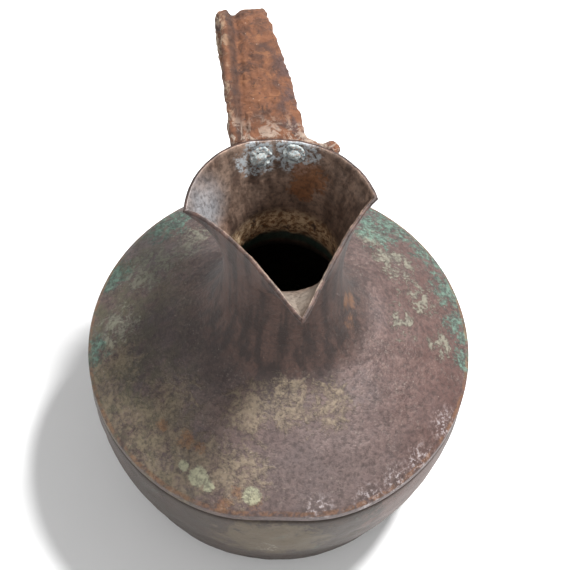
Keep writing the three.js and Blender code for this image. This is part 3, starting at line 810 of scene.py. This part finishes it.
def inside_of_mouth(paint, color, height, streak, ragged, grain):
    """Colours of the inside of the mouth and throat, where the surface faces the jug's axis, with a painted
    sheen on the left wall, painted light in the lip's trough and painted shadow deep in the neck.
    """
    geometry = paint.tree.nodes.new("ShaderNodeNewGeometry")
    flat = paint.vector_math("MULTIPLY", paint.place, (1, 1, 0)).outputs[0]
    outwards = paint.vector_math("DOT_PRODUCT", flat, geometry.outputs["Normal"]).outputs["Value"]
    inside = paint.times(paint.step(outwards, -2, -9), paint.step(height, edge_z(30), edge_z(40)))
    back = paint.part(1)

    lining = paint.mix(paint.step(streak, 0.38, 0.62), LINING_DARK, LINING_LIGHT)
    lining = paint.cover(lining, paint.step(ragged, 0.42, 0.58), 0.5, LINING_BROWN)
    # Painted sheen on the left inner wall
    lining = paint.cover(lining, paint.spots(INNER_SHEEN_SPOT), 0.75, SHEEN_SILVER)
    lining = paint.cover(lining, paint.spots(PINK_SPOT), 0.55, PINKISH)
    halo = paint.patches(paint.spots(RIVET_HALOS), ragged, edge=0.36)
    lining = paint.cover(lining, paint.times(halo, paint.step(grain, 0.4, 0.56)), 0.8, HALO_BLUE)
    rusty = paint.patches(paint.spots(RUST_RUN), ragged, edge=0.38)
    lining = paint.cover(lining, rusty, 0.85, RUN_BROWN)
    scale = paint.band(height, edge_z(60), edge_z(66), edge_z(76), edge_z(86))
    scale = paint.times(scale, paint.step(back, -4, 12))
    scale_color = paint.mix(paint.step(grain, 0.42, 0.6), SCALE_DARK, SCALE_LIGHT)
    lining = paint.mix(paint.times(scale, paint.step(ragged, 0.34, 0.46)), lining, scale_color)
    teal = paint.band(height, edge_z(50), edge_z(56), edge_z(60), edge_z(66))
    lining = paint.cover(lining, paint.times(teal, paint.step(back, -4, 10)), 0.8, TEAL)
    # Painted shadow deep in the neck, below the throat
    lining = paint.mix(paint.step(height, edge_z(56), edge_z(40)), lining, NECK_SHADOW_BLACK)
    # Painted light in the lip's trough
    lining = paint.cover(lining, paint.spots(LIT_LIP_TROUGH), 0.75, TROUGH_PAINTED_LIGHT)
    return paint.mix(inside, color, lining)


def dark_patina(name):
    """The lower wall and the base: dark brown-grey with rust stains, olive painted light on the front dent,
    painted glints and a dark seam with painted shade under the shoulder's edge.
    """
    paint = Paint(name)
    blotch = paint.noise(6, detail=9, rough=0.72, distort=0.6)
    broad = paint.noise(38, detail=4, rough=0.55)
    grain = paint.noise(1.7, detail=7, rough=0.75)
    ragged = paint.noise(8, detail=7, rough=0.65, distort=0.8)

    color = paint.mix(paint.step(blotch, 0.3, 0.7), WALL_DARK, WALL_LIGHT)
    color = paint.mix(paint.step(broad, 0.4, 0.62), color, WALL_GREY)
    color = paint.cover(color, paint.step(grain, 0.55, 0.36), 0.5, WALL_PITS)
    # Olive painted light on the front dent
    olive = paint.patches(paint.spots(WALL_LIT_DENT_AREA), ragged, edge=0.42)
    color = paint.cover(color, olive, 0.45, WALL_DENT_LIGHT)
    pink = paint.patches(paint.spots(WALL_PINK_AREA), ragged, edge=0.44)
    color = paint.cover(color, pink, 0.5, WALL_PINK)
    green = paint.step(paint.noise(12, detail=10, rough=0.74, distort=0.8), 0.57, 0.65)
    color = paint.cover(color, green, 0.3, WALL_GREEN)
    dust = paint.step(paint.noise(1.5, detail=7, rough=0.78), 0.58, 0.7)
    color = paint.cover(color, dust, 0.25, WALL_DUST)
    glint = paint.times(paint.spots(WALL_GLINTS), paint.step(grain, 0.56, 0.62))
    color = paint.cover(color, glint, 0.8, WALL_GLINT)
    # Dark seam and painted shade on the top of the wall, under the shoulder's edge
    seam_and_shade = paint.step(paint.part(2), edge_z(-12), edge_z(-6))
    color = paint.cover(color, seam_and_shade, 0.6, SEAM_AND_SHADE_DARK)

    roughness = paint.plus(0.4, paint.times(grain, 0.3))
    paint.bump(paint.plus(grain, paint.times(blotch, 0.8)), distance=0.4, strength=0.8)
    return paint.finish(color, roughness, metallic=0.45)


def rusted_iron(name):
    """The handle and its lower rivets: orange and purple rust, dark pits and pale crust."""
    paint = Paint(name)
    side = paint.part(0)
    height = paint.part(2)
    blotch = paint.noise(9, detail=6, rough=0.65, distort=0.5)
    grain = paint.noise(1.4, detail=7, rough=0.75)
    ragged = paint.noise(5, detail=8, rough=0.7, distort=0.8)

    color = paint.mix(paint.step(blotch, 0.34, 0.62), IRON_DARK, IRON_RUST)
    color = paint.cover(color, paint.step(ragged, 0.52, 0.62), 0.6, IRON_ORANGE)
    purple = paint.times(paint.step(side, -2, 12), paint.step(blotch, 0.55, 0.42))
    color = paint.cover(color, purple, 0.7, IRON_PURPLE)
    pits = paint.step(paint.noise(2.6, detail=5, rough=0.65), 0.42, 0.32)
    color = paint.cover(color, pits, 0.85, IRON_PITS)
    crust = paint.times(paint.step(side, -16, -24), paint.step(ragged, 0.5, 0.57))
    color = paint.cover(color, crust, 0.7, BEAD_CRUST)
    flecks = paint.step(paint.noise(1.3, detail=3, rough=0.6, distort=0.3), 0.71, 0.75)
    color = paint.cover(color, flecks, 0.7, IRON_FLECKS)
    groove = paint.band(side, -19.5, -17.5, -16.0, -14.0)
    groove = paint.times(groove, paint.step(height, edge_z(60), edge_z(80)))
    color = paint.cover(color, groove, 0.6, GROOVE_DARK)
    near_mouth = paint.times(paint.step(paint.part(1), 52, 38), paint.step(height, edge_z(95), edge_z(105)))
    joint = paint.times(near_mouth, paint.step(ragged, 0.46, 0.55))
    color = paint.cover(color, joint, 0.7, JOINT_CRUST)

    roughness = paint.plus(0.68, paint.times(grain, 0.25))
    paint.bump(paint.plus(grain, paint.times(ragged, 0.8)), distance=1.3)
    return paint.finish(color, roughness, metallic=0.08)


def pale_crust(name):
    """The rivet ends in the mouth, buried in pale corrosion."""
    paint = Paint(name)
    grain = paint.noise(1.0, detail=6, rough=0.7)
    blotch = paint.noise(3, detail=5, rough=0.6, distort=0.4)
    color = paint.mix(paint.step(blotch, 0.36, 0.6), RIVET_DARK, RIVET_PALE)
    color = paint.cover(color, paint.step(grain, 0.52, 0.62), 0.8, RIVET_RUST)
    paint.bump(grain, distance=0.4)
    return paint.finish(color, paint.plus(0.75, paint.times(grain, 0.2)), metallic=0.0)


def dull_solder(name):
    paint = Paint(name)
    grain = paint.noise(1.8, detail=6, rough=0.7)
    blotch = paint.noise(6, detail=4, rough=0.6)
    color = paint.mix(paint.step(blotch, 0.4, 0.6), SOLDER_DARK, SOLDER_LIGHT)
    paint.bump(grain, distance=0.3, strength=0.8)
    return paint.finish(color, paint.plus(0.5, paint.times(grain, 0.3)), metallic=0.4)


def floor_paint(name):
    """A pale floor that takes the jug's soft shadow."""
    paint = Paint(name)
    color = paint.mix(paint.noise(40, detail=3, rough=0.5), FLOOR_LOW, FLOOR_HIGH)
    return paint.finish(color, roughness=0.9, metallic=0.0)


# Stage, lamps and camera

def make_floor():
    corners = np.array([(-1, -1, 0), (1, -1, 0), (1, 1, 0), (-1, 1, 0)], float) * FLOOR_HALF
    floor = mesh_object("floor", corners, [(0, 1, 2, 3)], floor_paint("pale_floor"))


def make_lamp(name, place, target, size, power):
    """A round area lamp. Its place, target and size are in metres."""
    lamp = bpy.data.lights.new(name, "AREA")
    lamp.shape = "DISK"
    lamp.size = size
    lamp.energy = power
    holder = bpy.data.objects.new(name, lamp)
    holder.location = place
    aim = Vector(target) - Vector(place)
    holder.rotation_euler = aim.to_track_quat("-Z", "Y").to_euler()
    bpy.context.scene.collection.objects.link(holder)


def make_world():
    """Even studio light, and a pale backdrop for the camera, reflections and transmission."""
    world = bpy.data.worlds.new("studio")
    bpy.context.scene.world = world
    world.use_nodes = True
    tree = world.node_tree
    light = tree.nodes["Background"]
    light.inputs["Color"].default_value = (1, 1, 1, 1)
    light.inputs["Strength"].default_value = WORLD_STRENGTH
    backdrop = tree.nodes.new("ShaderNodeBackground")
    backdrop.inputs["Color"].default_value = BACKDROP
    backdrop.inputs["Strength"].default_value = 1.0
    path = tree.nodes.new("ShaderNodeLightPath")
    mix = tree.nodes.new("ShaderNodeMixShader")
    seen = path.outputs["Is Camera Ray"]
    for kind in ("Is Glossy Ray", "Is Transmission Ray"):
        either = tree.nodes.new("ShaderNodeMath")
        either.operation = "MAXIMUM"
        tree.links.new(seen, either.inputs[0])
        tree.links.new(path.outputs[kind], either.inputs[1])
        seen = either.outputs[0]
    tree.links.new(seen, mix.inputs[0])
    tree.links.new(light.outputs[0], mix.inputs[1])
    tree.links.new(backdrop.outputs[0], mix.inputs[2])
    tree.links.new(mix.outputs[0], tree.nodes["World Output"].inputs["Surface"])


def make_camera():
    back = EYE_RIGHT.cross(EYE_UP)
    lens = bpy.data.cameras.new("camera")
    lens.sensor_width = SENSOR
    lens.lens = FOCAL_PIXELS / FRAME_PIXELS * SENSOR
    lens.clip_start = 0.01
    lens.clip_end = 50
    camera = bpy.data.objects.new("camera", lens)
    axes = Matrix((EYE_RIGHT, EYE_UP, back)).transposed().to_4x4()
    camera.matrix_world = Matrix.Translation(EYE * MM) @ axes
    bpy.context.scene.collection.objects.link(camera)
    bpy.context.scene.camera = camera


def dress(piece, slot, *nodes):
    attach(piece, "root")
    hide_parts(*nodes)


bronze = patina("bronze_patina")
dark_bronze = dark_patina("dark_bronze_patina")
iron = rusted_iron("rusted_iron")
crusted = pale_crust("pale_rivet_crust")
solder = dull_solder("dull_solder")

dress(make_upper(bronze), "bronze", "neck_and_shoulder")
dress(make_wall(dark_bronze), "dark_bronze", "lower_body")
dress(make_base(dark_bronze), "dark_bronze", "base_plate")
handle = worked("rusted_handle", "handle", iron, voxel=0.75, depth=1.0, lump=3.2, seed=31.0, flakes=0.5)
dress(handle, "rusted_iron", "handle")

# Rivets and roves: where they sit, their look, material and slot, and their noise seed
rivet_looks = (("upper", "crusted", crusted, "corroded_rivet", 50.0),
               ("lower", "rusted", iron, "rusted_iron", 70.0))
for number, side in enumerate(("left", "right")):
    for form, depth in (("rivet", 0.5), ("rove", 0.6)):
        for level, look, material, slot, seed in rivet_looks:
            node = f"{level}_{form}_{side}"
            piece = worked(f"{look}_{node}", node, material, RIVET_VOXEL, depth, RIVET_LUMP,
                           seed + SEED_STEP * number)
            dress(piece, slot, node)
for node in ("shoulder_solder", "base_solder"):
    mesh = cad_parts[node].data
    mesh.materials.clear()
    mesh.materials.append(solder)

make_floor()
make_lamp("key", place=(0.5, 0.24, 1.35), target=(0, 0, 0.12), size=0.26, power=40)
make_lamp("fill", place=(-0.5, -1.1, 1.1), target=(0, 0, 0.1), size=1.2, power=7)
make_world()
make_camera()
bpy.context.scene.view_settings.view_transform = "Standard"
